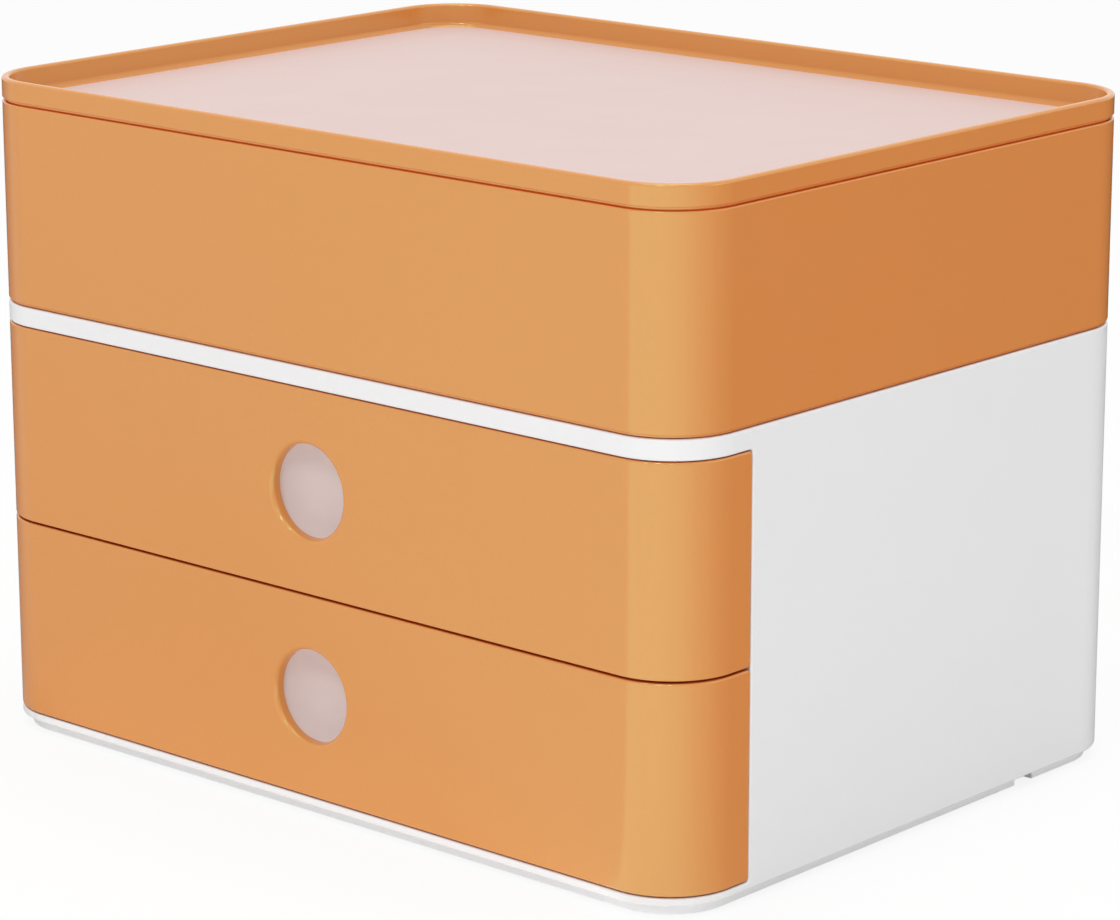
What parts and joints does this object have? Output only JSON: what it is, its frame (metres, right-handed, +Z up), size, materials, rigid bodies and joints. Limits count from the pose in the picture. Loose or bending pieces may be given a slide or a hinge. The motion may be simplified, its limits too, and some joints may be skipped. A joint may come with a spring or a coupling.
{
  "type": "desktop drawer box",
  "caption": "White desktop drawer box with glossy orange drawers and a stacked orange organiser box under a shallow tray lid.",
  "frame": {"origin": "on the surface the feet stand on, under the middle of the outline", "axes": "+X to the right along the front, +Y to the back, +Z up; the drawers open along -Y"},
  "size_m": [0.26, 0.195, 0.189],
  "materials": {
    "casing_white": "semi-gloss white",
    "front_orange": "high-gloss apricot orange",
    "tray_white": "semi-gloss white",
    "cup_white": "satin white",
    "liner_pale": "satin pale pink",
    "foot_rubber": "matt grey"
  },
  "bodies": {
    "casing": {"casing": "casing_white", "drawer_shelf": "casing_white", "base_plate": "casing_white", "foot_front_left": "foot_rubber", "foot_front_right": "foot_rubber", "foot_rear_left": "foot_rubber", "foot_rear_right": "foot_rubber"},
    "lower_drawer": {"lower_drawer_front": "front_orange", "lower_drawer_tray": "tray_white", "lower_grip_cup": "cup_white"},
    "upper_drawer": {"upper_drawer_front": "front_orange", "upper_drawer_tray": "tray_white", "upper_grip_cup": "cup_white"},
    "organiser_box": {"organiser_box": "front_orange"},
    "lid": {"lid": "front_orange", "lid_liner": "liner_pale"}
  },
  "joints": [
    {"name": "lower_drawer_slide", "type": "slide", "parent": "casing", "child": "lower_drawer", "axis": [0, -1, 0], "range_m": [0, 0.1249]},
    {"name": "upper_drawer_slide", "type": "slide", "parent": "casing", "child": "upper_drawer", "axis": [0, -1, 0], "range_m": [0, 0.1249]},
    {"name": "organiser_box_lift", "type": "slide", "parent": "casing", "child": "organiser_box", "axis": [0, 0, 1], "range_m": [0, 0.06]},
    {"name": "lid_lift", "type": "slide", "parent": "organiser_box", "child": "lid", "axis": [0, 0, 1], "range_m": [0, 0.06]}
  ]
}
